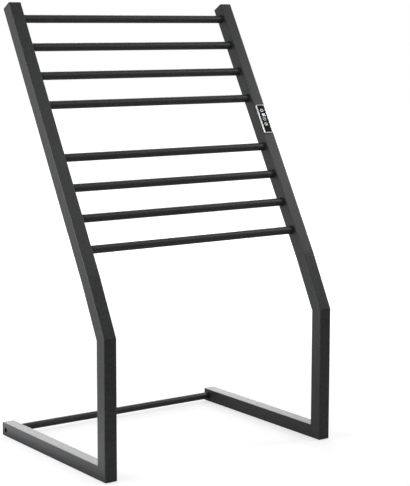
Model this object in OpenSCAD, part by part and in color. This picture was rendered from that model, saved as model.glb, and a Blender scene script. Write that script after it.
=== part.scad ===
// Free-standing towel warmer rack: two bent side frames of square steel tube carry eight round
// heated bars in two groups, with a touch panel let into the right-hand post.
// Millimetres. X runs across the rack, Y from front to back, Z up. The origin lies on the floor
// in the middle of the base.

/* [Frame] */
// Width over the two side frames
rack_w = 500; // [400:5:700]
// Length of a floor leg's tube, from the front of the post to its open rear end
leg_len = 370; // [280:1:450]
// Height of the upright post, from the underside of the leg to the bend in its front face
post_h = 251; // [150:1:350]
// Length of the short tube above the bend, along its front face
knee_len = 112.5; // [90:0.5:180]
// Lean of the short tube from the vertical, in degrees
knee_angle = 27.2; // [15:0.1:28]
// Lean of the upper post from the vertical, in degrees
lean_angle = 29.9; // [28:0.1:36]
// Side of the square tube
tube = 25; // [24:0.5:32]
// Wall of the square tube
wall = 1.2; // [1:0.1:2]
// Radius on the outside corners of the square tube
corner_r = 1.5; // [0.8:0.1:3]

/* [Heated bars] */
// Diameter of a heated bar
bar_d = 15; // [12:0.5:20]
// Wall of a heated bar
bar_wall = 1; // [0.6:0.1:2]
// Spacing of the bars within a group, along the post
bar_pitch = 59; // [40:0.5:80]
// Spacing across the panel, between the two groups of bars
group_gap = 105; // [100:0.5:160]
// From the foot of the upper post to the lowest bar
first_bar = 54; // [50:0.5:90]
// From the highest bar to the open top of the post
top_margin = 26; // [20:0.5:60]
// Diameter of the holes that let the heating cable pass from post to bar
cable_hole_d = 10; // [6:0.5:11]
// Diameter of the heating cable
cable_d = 4; // [2:0.5:5]

/* [Rear crossbar] */
// Diameter of the crossbar between the legs
cross_d = 14; // [10:0.5:20]
// Wall of the crossbar
cross_wall = 1; // [0.6:0.1:2]
// From the open rear end of the legs to the crossbar's axis
cross_back = 9.7; // [9:0.1:60]
// Length of the threaded plug in each end of the crossbar
insert_len = 20; // [10:1:40]
// Diameter of the hole in the outer wall that the screwdriver goes through
access_d = 9; // [9:0.5:12]

/* [Couplings and screws] */
// How far a coupling sleeve reaches into the tube on each side of the joint
sleeve_reach = 38; // [25:1:42]
// Wall of a coupling sleeve
sleeve_wall = 3; // [2:0.5:4]
// Gap between a sleeve or plug and the tube round it
fit_gap = 0.1; // [0.05:0.05:0.4]
// Shank diameter of the frame screws
screw_d = 5; // [4:0.5:6]
// From the joint to each coupling screw
screw_from_joint = 20; // [12:0.5:28]

/* [Plugs and pads] */
// Thickness of a post's top plug outside the tube
top_plug_t = 2; // [1:0.5:4]
// Thickness of a leg's end plug outside the tube
leg_plug_t = 3; // [2.5:0.5:6]
// Depth of a leg plug's body inside the tube
leg_plug_depth = 4.5; // [3:0.5:5]
// Depth of a top plug's body inside the tube
top_plug_depth = 12; // [6:0.5:16]
// Diameter of a foot pad
pad_d = 16; // [10:1:22]
// Thickness of a foot pad
pad_t = 1.2; // [0.8:0.1:4]
// From the end of a leg to the middle of its pad
pad_inset = 30; // [20:1:60]
// Bore of the gland that the mains cord passes through
gland_bore_d = 6.4; // [5:0.1:8]

/* [Touch panel] */
// Width of the panel's bezel
panel_w = 21; // [18:0.5:23]
// Length of the panel's bezel
panel_len = 62; // [60:0.5:80]
// How far the bezel stands proud of the post
panel_proud = 2.5; // [2.2:0.1:4]
// Width of the bezel's rim
bezel_w = 2.2; // [1.5:0.1:3]
// Radius on the bezel's outside corners
bezel_r = 3; // [3:0.1:4]
// Thickness of the touch glass
glass_t = 1.5; // [1:0.1:2]
// How far the glass lies below the bezel's rim
glass_recess = 0.5; // [0.2:0.1:0.7]
// How far the window in the post is smaller all round than the opening in the bezel
window_step = 0.4; // [0.2:0.1:1]
// Depth of the housing behind the face of the post
housing_depth = 18; // [14:0.5:18]
// Wall of the housing
housing_wall = 1; // [0.8:0.1:1.5]
// Radius of the rings round the touch keys
key_r = 3.25; // [2.5:0.05:4]
// Width of the printed lines
line_w = 0.46; // [0.2:0.02:0.8]
// Height of a figure on the display
digit_h = 5.8; // [4:0.1:7]
// Width of a figure on the display
digit_w = 3.3; // [2.5:0.1:4]

/* [Hidden] */
$fn = 48;
bar_count = 8;
group_count = 4;

coat = "#2b2c2e";
plastic_black = "#1b1b1c";
steel = "#b9bbbd";
silicone = "#a33a2c";

// Places along the upper post, measured from its foot on the front face
function bar_z(i) =
    let (k = bar_count - i)
    first_bar + k * bar_pitch + (k >= group_count ? group_gap - bar_pitch : 0);
upper_len = bar_z(1) + top_margin;
panel_z = (bar_z(group_count) + bar_z(group_count + 1)) / 2;

inner = tube - 2 * wall;
inner_r = max(corner_r - wall, 0.3);
post_x = rack_w / 2 - tube / 2;
joint_angle = lean_angle - knee_angle;
knee_y = knee_len * sin(knee_angle);
knee_z = post_h + knee_len * cos(knee_angle);
base_depth = leg_len + leg_plug_t;

glass_top = panel_proud - glass_recess;
glass_back = glass_top - glass_t;
opening_w = panel_w - 2 * bezel_w;
opening_len = panel_len - 2 * bezel_w;
window_w = opening_w - 2 * window_step;
window_len = opening_len - 2 * window_step;
housing_gap = 0.3;
housing_w = window_w - 2 * housing_gap;
housing_len = window_len - 2 * housing_gap;
print_t = 0.1;
board_t = 1.2;
board_top = glass_back - 6;
board_w = housing_w - 2 * housing_wall - 0.4;
board_len = housing_len - 2 * housing_wall - 0.4;
boss_d = 4.4;
boss_z = board_len / 2 - boss_d / 2;
power_len = 2 * boss_z - boss_d - 1;
power_top = 3.6 - housing_depth;

// Rows of the display and the keys, up from the middle of the panel
power_key_z = 17.9;
display_z = 8.3;
timer_key_z = -0.5;
heat_key_z = -11.4;
display_x = 1.2;

thread_gap = 0.05;
gland_d = gland_bore_d + 4.6;
gland_flange_d = gland_d + 3.4;
gland_flange_t = 1.5;
housing_end = panel_z - housing_len / 2;
stud_z = housing_end - 18;
stud_x = 6.4;
lug_lift = 1.7;
lug_len = 7.2;
bend_reach = 6;
cutoff_len = 20;
cutoff_w = 7.6;
cutoff_t = 3.8;
return_depth = tube - wall - cable_d / 2 - 0.3;
cutoff_z = panel_z + 26;

// ---- frames of reference ----

// Rack frame: front faces of the posts at y = 0, undersides of the legs at z = 0
module in_rack() {
    translate([0, -base_depth / 2, pad_t]) children();
}

// Leaning frame of the upper posts: origin on their front faces, z along them, y into them
module in_lean(x = 0) {
    in_rack() translate([x, knee_y, knee_z]) rotate([-lean_angle, 0, 0]) children();
}

// The same for the short tubes above the bend
module in_knee(x) {
    in_rack() translate([x, 0, post_h]) rotate([-knee_angle, 0, 0]) children();
}

module in_post(x) {
    in_rack() translate([x, 0, 0]) children();
}

// Along a leg: z runs to the rear, y down from its top face
module in_leg(x) {
    in_rack() translate([x, 0, tube]) rotate([-90, 0, 0]) children();
}

// Face of the panel: x across, y up the post, z out of its front face
module on_panel() {
    in_lean(post_x) translate([0, 0, panel_z]) rotate([90, 0, 0]) children();
}

// ---- shapes that repeat ----

module rounded_square(w, r) {
    square([w - 2 * r, w], center = true);
    square([w, w - 2 * r], center = true);
    for (x = [-1, 1])
        for (y = [-1, 1])
            translate([x * (w / 2 - r), y * (w / 2 - r)]) circle(r = r);
}

module rounded_block(w, l, r, h) {
    linear_extrude(h) {
        square([w - 2 * r, l], center = true);
        square([w, l - 2 * r], center = true);
        for (x = [-1, 1])
            for (y = [-1, 1])
                translate([x * (w / 2 - r), y * (l / 2 - r)]) circle(r = r);
    }
}

// Room between two sloping cuts: heights of the lower and upper cut at the front and rear faces
module between_cuts(low_front, low_rear, high_front, high_rear) {
    margin = 2;
    low_slope = (low_rear - low_front) / tube;
    high_slope = (high_rear - high_front) / tube;
    rotate([90, 0, 90])
        translate([0, 0, -tube])
            linear_extrude(2 * tube)
                polygon([
                    [-margin, low_front - low_slope * margin],
                    [tube + margin, low_rear + low_slope * margin],
                    [tube + margin, high_rear + high_slope * margin],
                    [-margin, high_front - high_slope * margin]
                ]);
}

// Square tube with its front face at y = 0 and sloping ends
module mitred_tube(low_front, low_rear, high_front, high_rear) {
    low = min(low_front, low_rear);
    high = max(high_front, high_rear);
    intersection() {
        translate([0, tube / 2, low])
            linear_extrude(high - low)
                difference() {
                    rounded_square(tube, corner_r);
                    rounded_square(inner, inner_r);
                }
        between_cuts(low_front, low_rear, high_front, high_rear);
    }
}

// Hole through one side wall, at a height z: side is -1 for the left wall and 1 for the right
module side_hole(side, z, d) {
    translate([0, tube / 2, z]) rotate([0, side * 90, 0]) cylinder(d = d, h = tube);
}

module pipe(d, t, l) {
    difference() {
        cylinder(d = d, h = l, center = true);
        cylinder(d = d - 2 * t, h = l + 2, center = true);
    }
}

// Machine screw with its head's seat at z = 0 and its shank pointing down
module socket_screw(d, l) {
    difference() {
        cylinder(d = 1.7 * d, h = d);
        translate([0, 0, 0.45 * d]) cylinder(d = 0.95 * d, h = d, $fn = 6);
    }
    translate([0, 0, -l]) cylinder(d = d - 2 * thread_gap, h = l);
}

module button_screw(d, l) {
    r = 0.95 * d;
    difference() {
        rotate_extrude()
            polygon([[0, 0], [r, 0], [0.93 * r, 0.22 * d], [0.62 * r, 0.5 * d], [0, 0.55 * d]]);
        translate([0, 0, 0.2 * d]) cylinder(d = 0.7 * d, h = d, $fn = 6);
    }
    translate([0, 0, -l]) cylinder(d = d - 2 * thread_gap, h = l);
}

function unit(v) = v / norm(v);

// A route with each inner corner replaced by a curve that starts and ends a reach from it
function rounded_route(p, reach, steps) = [
    p[0],
    for (i = [1 : len(p) - 2])
        let (a = p[i] + reach * unit(p[i - 1] - p[i]), b = p[i] + reach * unit(p[i + 1] - p[i]))
            for (k = [0 : steps])
                let (t = k / steps) (1 - t) * (1 - t) * a + 2 * t * (1 - t) * p[i] + t * t * b,
    p[len(p) - 1]
];

// Round tube of 8 sides along a route that never runs straight along y
module swept_cable(route, d) {
    sides = 8;
    n = len(route);
    ring_points = [
        for (i = [0 : n - 1])
            let (
                t = unit(route[min(i + 1, n - 1)] - route[max(i - 1, 0)]),
                u = unit(cross(t, [0, 1, 0])),
                v = cross(t, u)
            )
                for (k = [0 : sides - 1])
                    route[i] + d / 2 * (cos(360 * k / sides) * u + sin(360 * k / sides) * v)
    ];
    wall_faces = [
        for (i = [0 : n - 2])
            for (k = [0 : sides - 1])
                let (a = i * sides + k, b = i * sides + (k + 1) % sides)
                    each [[a, a + sides, b], [b, a + sides, b + sides]]
    ];
    start_face = [for (k = [0 : sides - 1]) k];
    end_face = [for (k = [sides - 1 : -1 : 0]) (n - 1) * sides + k];
    polyhedron(points = ring_points, faces = concat(wall_faces, [start_face, end_face]));
}

// ---- side frames ----

module upper_post(side) {
    foot = tube * tan(joint_angle / 2);
    color(coat)
        in_lean(side * post_x)
            difference() {
                mitred_tube(0, foot, upper_len, upper_len);
                for (i = [1 : bar_count]) side_hole(-side, bar_z(i), cable_hole_d);
                translate([0, tube - wall - 1, screw_from_joint])
                    rotate([-90, 0, 0]) cylinder(d = screw_d + 0.4, h = wall + 2);
                if (side > 0)
                    translate([-window_w / 2, -1, panel_z - window_len / 2])
                        cube([window_w, wall + 2, window_len]);
            }
}

module knee_tube(side) {
    color(coat)
        in_knee(side * post_x)
            difference() {
                mitred_tube(0, tube * tan(knee_angle / 2), knee_len, knee_len - tube * tan(joint_angle / 2));
                translate([0, tube - wall - 1, knee_len - screw_from_joint])
                    rotate([-90, 0, 0]) cylinder(d = screw_d + 0.4, h = wall + 2);
            }
}

module lower_post(side) {
    color(coat)
        in_post(side * post_x) mitred_tube(0, tube, post_h, post_h - tube * tan(knee_angle / 2));
}

module leg(side) {
    cross_z = leg_len - cross_back;
    color(coat)
        in_leg(side * post_x)
            difference() {
                mitred_tube(tube, 0, leg_len, leg_len);
                side_hole(side, cross_z, access_d);
                side_hole(-side, cross_z, screw_d + 0.4);
            }
}

// Square sleeve across the joint between the short tube and the upper post
module sleeve_half(length) {
    size = inner - 2 * fit_gap;
    translate([0, tube / 2, 0])
        linear_extrude(length)
            difference() {
                rounded_square(size, inner_r + 0.4);
                rounded_square(size - 2 * sleeve_wall, 1);
            }
}

module coupling(side) {
    low_end = knee_len - sleeve_reach;
    foot = tube * tan(joint_angle / 2);
    hole_from = tube - wall - fit_gap - sleeve_wall - 1;
    color(steel) {
        difference() {
            union() {
                in_lean(side * post_x)
                    intersection() {
                        translate([0, 0, -2]) sleeve_half(sleeve_reach + 2);
                        between_cuts(0, foot, sleeve_reach, sleeve_reach);
                    }
                in_knee(side * post_x)
                    intersection() {
                        translate([0, 0, low_end]) sleeve_half(sleeve_reach + 2);
                        between_cuts(low_end, low_end, knee_len, knee_len - foot);
                    }
            }
            in_lean(side * post_x)
                translate([0, hole_from, screw_from_joint])
                    rotate([-90, 0, 0]) cylinder(d = screw_d, h = sleeve_wall + 2);
            in_knee(side * post_x)
                translate([0, hole_from, knee_len - screw_from_joint])
                    rotate([-90, 0, 0]) cylinder(d = screw_d, h = sleeve_wall + 2);
        }
    }
}

module coupling_screws() {
    shank = wall + fit_gap + sleeve_wall + 1;
    color(plastic_black)
        for (side = [-1, 1]) {
            in_lean(side * post_x)
                translate([0, tube, screw_from_joint])
                    rotate([-90, 0, 0]) button_screw(screw_d, shank);
            in_knee(side * post_x)
                translate([0, tube, knee_len - screw_from_joint])
                    rotate([-90, 0, 0]) button_screw(screw_d, shank);
        }
}

// ---- bars ----

module heated_bar(i) {
    color(coat)
        in_lean()
            translate([0, tube / 2, bar_z(i)]) rotate([0, 90, 0]) pipe(bar_d, bar_wall, rack_w - 2 * tube);
}

module at_crossbar() {
    in_rack() translate([0, leg_len - cross_back, tube / 2]) rotate([0, 90, 0]) children();
}

module crossbar() {
    color(coat) at_crossbar() pipe(cross_d, cross_wall, rack_w - 2 * tube);
}

module crossbar_inserts() {
    insert_d = cross_d - 2 * cross_wall - 2 * thread_gap;
    color(steel)
        at_crossbar()
            for (side = [-1, 1])
                rotate([0, side * 90 - 90, 0])
                    translate([0, 0, rack_w / 2 - tube - insert_len])
                        difference() {
                            cylinder(d = insert_d, h = insert_len);
                            translate([0, 0, -1]) cylinder(d = screw_d, h = insert_len + 2);
                        }
}

module crossbar_screws() {
    color(plastic_black)
        at_crossbar()
            for (side = [-1, 1])
                rotate([0, side * 90 - 90, 0])
                    translate([0, 0, rack_w / 2 - tube + wall]) socket_screw(screw_d, wall + 12);
}

// ---- plugs, gland and pads ----

module top_plug(side) {
    body = inner - 2 * fit_gap;
    color(plastic_black)
        in_lean(side * post_x)
            translate([0, tube / 2, upper_len]) {
                linear_extrude(top_plug_t) rounded_square(tube, corner_r);
                translate([0, 0, -top_plug_depth])
                    linear_extrude(top_plug_depth)
                        difference() {
                            rounded_square(body, inner_r + 0.4);
                            rounded_square(body - 3, 1);
                        }
            }
}

module leg_plug(side) {
    body = inner - 2 * fit_gap;
    color(plastic_black)
        in_leg(side * post_x)
            translate([0, tube / 2, leg_len])
                difference() {
                    union() {
                        linear_extrude(leg_plug_t) rounded_square(tube, corner_r);
                        translate([0, 0, -leg_plug_depth])
                            linear_extrude(leg_plug_depth) rounded_square(body, inner_r + 0.4);
                    }
                    if (side > 0) {
                        translate([0, 0, -leg_plug_depth - 1])
                            cylinder(d = gland_d, h = leg_plug_depth + leg_plug_t + 2);
                        translate([0, 0, leg_plug_t - gland_flange_t])
                            cylinder(d = gland_flange_d, h = gland_flange_t + 1);
                    }
                }
}

// Rubber bush for the mains cord, held by a flange outside and a lip inside
module cord_gland() {
    lip_t = 1;
    inside = leg_plug_depth + lip_t;
    color(plastic_black)
        in_leg(post_x)
            translate([0, tube / 2, leg_len])
                difference() {
                    union() {
                        translate([0, 0, leg_plug_t - gland_flange_t])
                            cylinder(d = gland_flange_d - 0.1, h = gland_flange_t);
                        translate([0, 0, -inside])
                            cylinder(d = gland_d - 0.1, h = inside + leg_plug_t - gland_flange_t);
                        translate([0, 0, -inside]) cylinder(d = gland_d + 1, h = lip_t);
                    }
                    translate([0, 0, -inside - 1])
                        cylinder(d = gland_bore_d, h = inside + leg_plug_t + 2);
                }
}

module foot_pads() {
    color(plastic_black)
        in_rack()
            for (x = [-post_x, post_x])
                for (y = [pad_inset, leg_len - pad_inset])
                    translate([x, y, -pad_t]) cylinder(d = pad_d, h = pad_t);
}

// ---- touch panel ----

// Frame of one cross-section: four straight runs and four turned corners. Inside size w by l
module profiled_frame(w, l, r) {
    for (turn = [0, 90, 180, 270]) {
        across = turn % 180 == 0 ? w : l;
        along = turn % 180 == 0 ? l : w;
        rotate([0, 0, turn]) {
            translate([across / 2, along / 2 - r, 0])
                rotate([90, 0, 0]) linear_extrude(along - 2 * r) children();
            translate([across / 2 - r, along / 2 - r, 0])
                rotate_extrude(angle = 90) translate([r, 0]) children();
        }
    }
}

module panel_bezel() {
    top = panel_proud;
    color("silver")
        on_panel()
            profiled_frame(opening_w, opening_len, bezel_r - bezel_w)
                polygon([
                    [0, 0],
                    [bezel_w, 0],
                    [bezel_w, 0.5 * top],
                    [0.84 * bezel_w, 0.78 * top],
                    [0.6 * bezel_w, 0.96 * top],
                    [0.4 * bezel_w, top],
                    [0.14 * bezel_w, 0.97 * top],
                    [0, 0.9 * top]
                ]);
}

module touch_glass() {
    glass_gap = 0.1;
    w = opening_w - 2 * glass_gap;
    l = opening_len - 2 * glass_gap;
    color("#101214")
        on_panel() translate([0, 0, glass_back]) rounded_block(w, l, bezel_r - bezel_w, glass_t);
}

// Part of a ring, from one angle to another
module arc_line(r, from, to) {
    rotate([0, 0, from])
        rotate_extrude(angle = to - from)
            translate([r - line_w / 2, 0]) square([line_w, print_t]);
}

// Straight printed line between two points
module stroke(a, b, w) {
    run = b - a;
    translate([a[0], a[1], 0])
        rotate([0, 0, atan2(run[1], run[0])])
            translate([0, -w / 2, 0]) cube([norm(run), w, print_t]);
}

module power_symbol() {
    split = 6;
    arc_line(key_r, 90 + split, 270 - split);
    arc_line(key_r, -90 + split, 90 - split);
    arc_line(0.64 * key_r, -230, 50);
    stroke([0, 0.12 * key_r], [0, 0.72 * key_r], line_w);
}

module timer_symbol() {
    arc_line(key_r, 0, 180);
    arc_line(key_r, 180, 360);
    stroke([0, 0], [0, 0.68 * key_r], line_w);
    stroke([0, 0], [0.45 * key_r, -0.32 * key_r], line_w);
}

module heat_symbol() {
    split = 9;
    stem_r = 0.15 * key_r;
    bulb_r = 0.24 * key_r;
    bulb_y = -0.48 * key_r;
    stem_top = 0.52 * key_r;
    meet = acos(stem_r / bulb_r);
    arc_line(key_r, 90 + split, 270 - split);
    arc_line(key_r, -90 + split, 90 - split);
    translate([0, bulb_y, 0]) {
        arc_line(bulb_r, 180 - meet, 360 + meet);
        cylinder(r = 0.1 * key_r, h = print_t);
    }
    translate([0, stem_top, 0]) arc_line(stem_r, 0, 180);
    for (x = [-stem_r, stem_r]) stroke([x, bulb_y + bulb_r * sin(meet)], [x, stem_top], line_w);
    for (k = [0 : 3]) {
        tick_y = (0.42 - 0.18 * k) * key_r;
        stroke([1.9 * stem_r, tick_y], [3 * stem_r, tick_y], line_w / 2);
    }
}

module key_symbols() {
    color("white")
        on_panel()
            translate([0, 0, glass_top]) {
                translate([0, power_key_z, 0]) power_symbol();
                translate([0, timer_key_z, 0]) timer_symbol();
                translate([0, heat_key_z, 0]) heat_symbol();
            }
}

// One bar of a seven-bar figure, lying along x, with pointed ends
module figure_bar(l, w) {
    linear_extrude(print_t)
        polygon([
            [-l / 2, 0],
            [-l / 2 + w / 2, w / 2],
            [l / 2 - w / 2, w / 2],
            [l / 2, 0],
            [l / 2 - w / 2, -w / 2],
            [-l / 2 + w / 2, -w / 2]
        ]);
}

// Lit bars of a figure, in the order top, upper right, lower right, bottom, lower left, upper left, middle
module figure(lit) {
    w = 0.88;
    gap = 0.12;
    across = digit_w - w;
    half = (digit_h - w) / 2;
    places = [
        [0, half, 0], [across / 2, half / 2, 90], [across / 2, -half / 2, 90], [0, -half, 0],
        [-across / 2, -half / 2, 90], [-across / 2, half / 2, 90], [0, 0, 0]
    ];
    for (k = [0 : 6])
        if (lit[k] == 1)
            translate([places[k][0], places[k][1], 0])
                rotate([0, 0, places[k][2]]) figure_bar((places[k][2] == 0 ? across : half) - gap, w);
}

module display_figures() {
    space = 4.2;
    nine = [1, 1, 1, 1, 0, 1, 1];
    five = [1, 0, 1, 1, 0, 1, 1];
    color("#cfd8ff")
        on_panel()
            translate([display_x, display_z, glass_top]) {
                translate([-space / 2, 0, 0]) figure(nine);
                translate([space / 2, 0, 0]) figure(five);
            }
}

// Open-fronted tray that clips into the window, with two bosses for the front board
module panel_housing() {
    floor_z = housing_wall - housing_depth;
    inside_w = housing_w - 2 * housing_wall;
    inside_len = housing_len - 2 * housing_wall;
    color(plastic_black)
        on_panel() {
            difference() {
                translate([-housing_w / 2, -housing_len / 2, -housing_depth])
                    cube([housing_w, housing_len, housing_depth + glass_back]);
                translate([-inside_w / 2, -inside_len / 2, floor_z])
                    cube([inside_w, inside_len, housing_depth + glass_back]);
            }
            for (y = [-boss_z, boss_z])
                translate([0, y, floor_z])
                    difference() {
                        cylinder(d = boss_d, h = board_top - board_t - floor_z);
                        translate([0, 0, 4]) cylinder(d = 1.8, h = housing_depth);
                    }
        }
}

// Front board with its chip and a row of small parts on the back
module control_board() {
    color("#1f5a36")
        on_panel() {
            translate([0, 0, board_top - board_t])
                difference() {
                    translate([-board_w / 2, -board_len / 2, 0]) cube([board_w, board_len, board_t]);
                    for (y = [-boss_z, boss_z])
                        translate([0, y, -1]) cylinder(d = 2.3, h = board_t + 2);
                }
            translate([-3.5, -12, board_top - board_t - 1.6]) cube([7, 7, 1.6]);
            for (k = [0 : 4])
                translate([-1, 2 + 3 * k, board_top - board_t - 0.8]) cube([2, 1.2, 0.8]);
        }
}

module touch_pads() {
    color("#3a3a3d")
        on_panel()
            for (y = [power_key_z, timer_key_z, heat_key_z])
                translate([0, y, board_top]) cylinder(d = 2 * key_r - 1, h = glass_back - board_top);
}

module display_module() {
    color("#e8e8e4")
        on_panel()
            translate([-5.6, display_z - 4, board_top]) cube([11.2, 8, glass_back - board_top - 0.2]);
}

module board_screws() {
    color(steel)
        on_panel()
            for (y = [-boss_z, boss_z])
                translate([0, y, board_top]) {
                    difference() {
                        cylinder(d = 3.8, h = 1.4);
                        translate([-0.3, -1.4, 0.7]) cube([0.6, 2.8, 1]);
                        translate([-1.4, -0.3, 0.7]) cube([2.8, 0.6, 1]);
                    }
                    translate([0, 0, -5]) cylinder(d = 1.7, h = 5);
                }
}

// Rear board that switches the mains, on two rails of the housing floor
module power_board() {
    rail_h = power_top - 1.6 + housing_depth - housing_wall;
    color("#23663f")
        on_panel() {
            translate([-board_w / 2, -power_len / 2, power_top - 1.6]) cube([board_w, power_len, 1.6]);
            for (x = [-board_w / 2, board_w / 2 - 1.5])
                translate([x, -power_len / 2, housing_wall - housing_depth]) cube([1.5, power_len, rail_h]);
            translate([-2, -19, power_top]) cube([4, 6, 5]);
        }
}

module relay() {
    color("#2458a6")
        on_panel() translate([-5, -10, power_top]) cube([10, 16, board_top - board_t - 2 - power_top]);
}

module terminal_block() {
    length = 11;
    color("#5f6f5a")
        on_panel()
            translate([0, 13.5, power_top])
                difference() {
                    translate([-5.5, -length / 2, 0]) cube([11, length, 5]);
                    for (x = [-3.6, 0, 3.6]) {
                        translate([x, 0, 2.5]) cylinder(d = 2.2, h = 4);
                        translate([x, 0, 1.6]) rotate([-90, 0, 0]) cylinder(d = 1.6, h = length);
                    }
                }
}

// ---- heating circuit ----

// Both cables run out along one bar and back along the next, from the panel to the far bar of
// their group, and return to the cutoff down the rear of the post

module upper_heating_cable() {
    y = tube / 2;
    lanes = [for (i = [group_count : -1 : 1]) bar_z(i)];
    runs = [
        for (k = [0 : len(lanes) - 1])
            let (s = k % 2 == 0 ? 1 : -1) each [[s * post_x, y, lanes[k]], [-s * post_x, y, lanes[k]]]
    ];
    last = bar_z(1);
    route = concat(
        [[post_x, y, panel_z + housing_len / 2]],
        runs,
        [[post_x, return_depth, last - 14], [post_x, return_depth, cutoff_z]]
    );
    color(silicone) in_lean() swept_cable(rounded_route(route, bend_reach, 4), cable_d);
}

module lower_heating_cable() {
    y = tube / 2;
    lanes = [for (i = [group_count + 1 : bar_count]) bar_z(i)];
    runs = [
        for (k = [0 : len(lanes) - 1])
            let (s = k % 2 == 0 ? 1 : -1) each [[s * post_x, y, lanes[k]], [-s * post_x, y, lanes[k]]]
    ];
    route = concat(
        [[post_x, y, housing_end]],
        runs,
        [[post_x, return_depth, bar_z(bar_count) + 14], [post_x, return_depth, cutoff_z - cutoff_len]]
    );
    color(silicone) in_lean() swept_cable(rounded_route(route, bend_reach, 4), cable_d);
}

module thermal_cutoff() {
    color("#d9d4c4")
        in_lean(post_x)
            translate([-cutoff_w / 2, return_depth - cutoff_t / 2, cutoff_z - cutoff_len])
                cube([cutoff_w, cutoff_t, cutoff_len]);
}

// Glass bead on the post's inner wall beside the first bar under the panel, with its lead to the
// end of the housing
module temperature_probe() {
    bead_d = 3;
    bead_len = 10;
    bead_x = bead_d / 2 - inner / 2;
    lead_d = 1.4;
    lead_x = lead_d / 2 - housing_w / 2;
    color("#c98b3a")
        in_lean(post_x)
            translate([0, 8, housing_end - 4]) {
                translate([bead_x, 0, -bead_len]) cylinder(d = bead_d, h = bead_len);
                translate([lead_x, 0, -1]) cylinder(d = lead_d, h = 5);
                translate([bead_x, -0.6, -1.2]) cube([lead_x - bead_x, 1.2, 1.2]);
            }
}

// Welded stud with a nut and a ring lug
module earth_stud() {
    color("#c8a951")
        in_lean(post_x)
            translate([stud_x, tube - wall, stud_z])
                rotate([90, 0, 0]) {
                    cylinder(d = 4, h = 8);
                    translate([0, 0, 2]) difference() {
                        cylinder(d = 7, h = 3.2, $fn = 6);
                        translate([0, 0, -1]) cylinder(d = 3.9, h = 6);
                    }
                    translate([0, 0, 1]) cylinder(d = 7.4, h = 0.9);
                    translate([0, 3.2, lug_lift]) rotate([-90, 0, 0]) cylinder(d = 2.8, h = lug_len - 3.2);
                }
}

// From the lug's barrel on the rear wall forwards to the end of the housing
module earth_lead() {
    low_y = tube - wall - lug_lift;
    high_y = housing_depth - 2.5;
    high_x = housing_w / 2 - 1.2;
    route = [
        [post_x + stud_x, low_y, stud_z + lug_len],
        [post_x + stud_x, low_y, stud_z + lug_len + 3],
        [post_x + high_x, high_y, housing_end - 3],
        [post_x + high_x, high_y, housing_end]
    ];
    color("#7aa32c") in_lean() swept_cable(rounded_route(route, 1.5, 4), 2);
}

// ---- the pieces ----

for (i = [1 : bar_count])
    heated_bar(i);
upper_post(-1);  // left_upper_post
upper_post(1);  // right_upper_post
knee_tube(-1);  // left_knee_tube
knee_tube(1);  // right_knee_tube
lower_post(-1);  // left_lower_post
lower_post(1);  // right_lower_post
leg(-1);  // left_leg
leg(1);  // right_leg
coupling(-1);  // left_coupling
coupling(1);  // right_coupling
coupling_screws();
crossbar();
crossbar_inserts();
crossbar_screws();
top_plug(-1);  // left_top_plug
top_plug(1);  // right_top_plug
leg_plug(-1);  // left_leg_plug
leg_plug(1);  // right_leg_plug
cord_gland();
foot_pads();
panel_bezel();
touch_glass();
key_symbols();
display_figures();
panel_housing();
control_board();
touch_pads();
display_module();
board_screws();
power_board();
relay();
terminal_block();
upper_heating_cable();
lower_heating_cable();
thermal_cutoff();
temperature_probe();
earth_stud();
earth_lead();
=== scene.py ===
"""A free-standing towel warmer rack in satin black powder coat, with a touch panel in one post.

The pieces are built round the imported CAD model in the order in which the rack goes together.
Lengths are in metres; mm turns millimetres into them.
"""

import bpy
import numpy as np
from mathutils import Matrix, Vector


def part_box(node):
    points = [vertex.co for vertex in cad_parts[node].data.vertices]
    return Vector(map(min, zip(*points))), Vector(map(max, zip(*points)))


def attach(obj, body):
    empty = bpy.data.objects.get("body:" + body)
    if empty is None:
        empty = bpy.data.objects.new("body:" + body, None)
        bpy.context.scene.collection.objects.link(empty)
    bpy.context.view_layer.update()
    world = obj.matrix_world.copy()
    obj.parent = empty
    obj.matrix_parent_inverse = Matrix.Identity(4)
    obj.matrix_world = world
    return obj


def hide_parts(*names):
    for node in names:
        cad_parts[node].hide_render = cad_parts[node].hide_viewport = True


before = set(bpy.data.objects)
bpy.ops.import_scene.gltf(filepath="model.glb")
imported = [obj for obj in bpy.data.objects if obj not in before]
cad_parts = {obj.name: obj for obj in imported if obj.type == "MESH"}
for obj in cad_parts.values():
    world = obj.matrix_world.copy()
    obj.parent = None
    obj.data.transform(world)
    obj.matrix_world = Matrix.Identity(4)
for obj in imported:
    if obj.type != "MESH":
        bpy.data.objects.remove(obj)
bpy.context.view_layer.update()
scene = bpy.context.scene
mm = 0.001

# ---- Camera ----
# A long lens at eye level to the left of the rack, turned to the right and a little down. The small
# shift sets the rack a little off centre.

lens = bpy.data.cameras.new("camera")
lens.lens = 110.129
lens.sensor_width = 36
lens.shift_x = 0.0475
lens.shift_y = -0.0234
camera = bpy.data.objects.new("camera", lens)
camera.location = (-1.54246, -2.28904, 0.77900)
camera.rotation_euler = (np.radians(90 - 7.8972), 0, np.radians(-34.6395))
scene.collection.objects.link(camera)
scene.camera = camera
scene.view_settings.view_transform = "Standard"


# ---- Studio: floor, surrounding light and softboxes ----
# A seamless white sweep. What the camera sees of it is plain white; what the coat mirrors is darker in
# front of the rack and below it, as in a studio with the lights off on the camera's side.

def linear(hex_colour):
    """An sRGB hex colour as linear RGBA: c / 12.92 below 0.04045, else ((c + 0.055) / 1.055) ^ 2.4."""
    value = np.array([int(hex_colour[i:i + 2], 16) for i in (1, 3, 5)]) / 255
    low = value / 12.92
    high = ((value + 0.055) / 1.055) ** 2.4
    return (*np.where(value < 0.04045, low, high), 1.0)


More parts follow.
